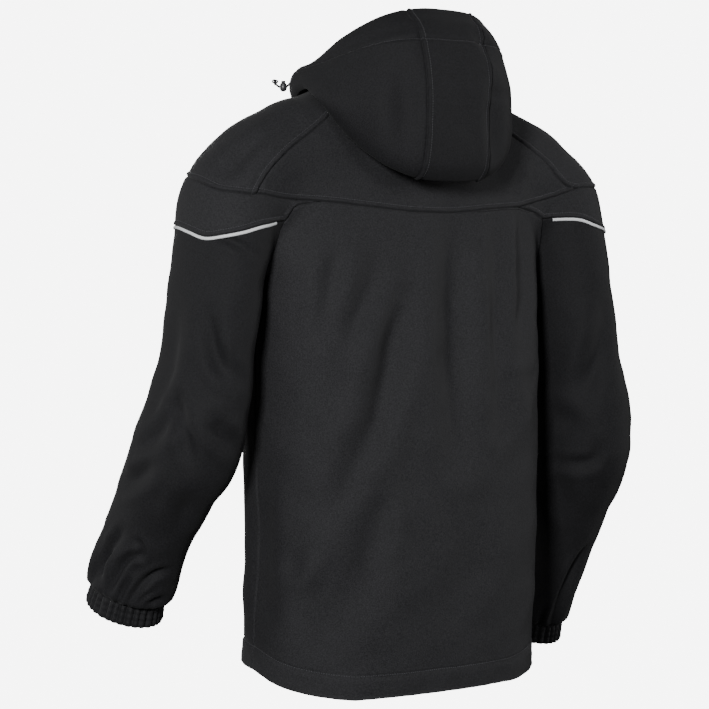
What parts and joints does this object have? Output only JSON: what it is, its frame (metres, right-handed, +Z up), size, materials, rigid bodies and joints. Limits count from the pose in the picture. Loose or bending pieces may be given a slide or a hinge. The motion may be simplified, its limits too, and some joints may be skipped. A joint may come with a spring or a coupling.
{
  "type": "hooded softshell jacket",
  "caption": "Hooded softshell work jacket as worn, seen empty: raglan shoulders, wedge bands with piping across the armholes, gathered elastic cuffs, hood hanging back.",
  "frame": {"origin": "middle of the neck opening, on the wearer's neck base", "axes": "+X to the wearer's left, +Y to the wearer's back, +Z up"},
  "size_m": [0.7086, 0.3532, 0.8444],
  "materials": {
    "softshell": "matte bonded woven face",
    "cuff_elastic": "matte elastic rib",
    "reflective_piping": "light grey reflective tape",
    "zip_chain": "woven zip tape with moulded teeth",
    "zip_metal": "dark painted die-cast",
    "eyelet_metal": "dark painted ring",
    "cord": "braided cord",
    "cord_lock": "dark satin plastic"
  },
  "bodies": {
    "jacket": {"back_yoke": "softshell", "back_panel": "softshell", "shoulder_left": "softshell", "shoulder_right": "softshell", "band_left": "softshell", "band_right": "softshell", "front_left": "softshell", "front_right": "softshell", "sleeve_left": "softshell", "sleeve_right": "softshell", "hood_left": "softshell", "hood_centre": "softshell", "hood_right": "softshell", "cuff_left": "cuff_elastic", "piping_left": "reflective_piping", "eyelet_left": "eyelet_metal", "drawcord_left": "cord", "cord_lock_left": "cord_lock", "cuff_right": "cuff_elastic", "piping_right": "reflective_piping", "eyelet_right": "eyelet_metal", "drawcord_right": "cord", "cord_lock_right": "cord_lock", "front_zip": "zip_chain", "zip_slider": "zip_metal"},
    "zip_tab": {"zip_pull": "zip_metal"}
  },
  "joints": [
    {"name": "zip_tab_hinge", "type": "hinge", "parent": "jacket", "child": "zip_tab", "pos_m": [0, -0.1055, -0.01851], "axis": [1, 0, 0], "range_deg": [-130, 18]}
  ]
}
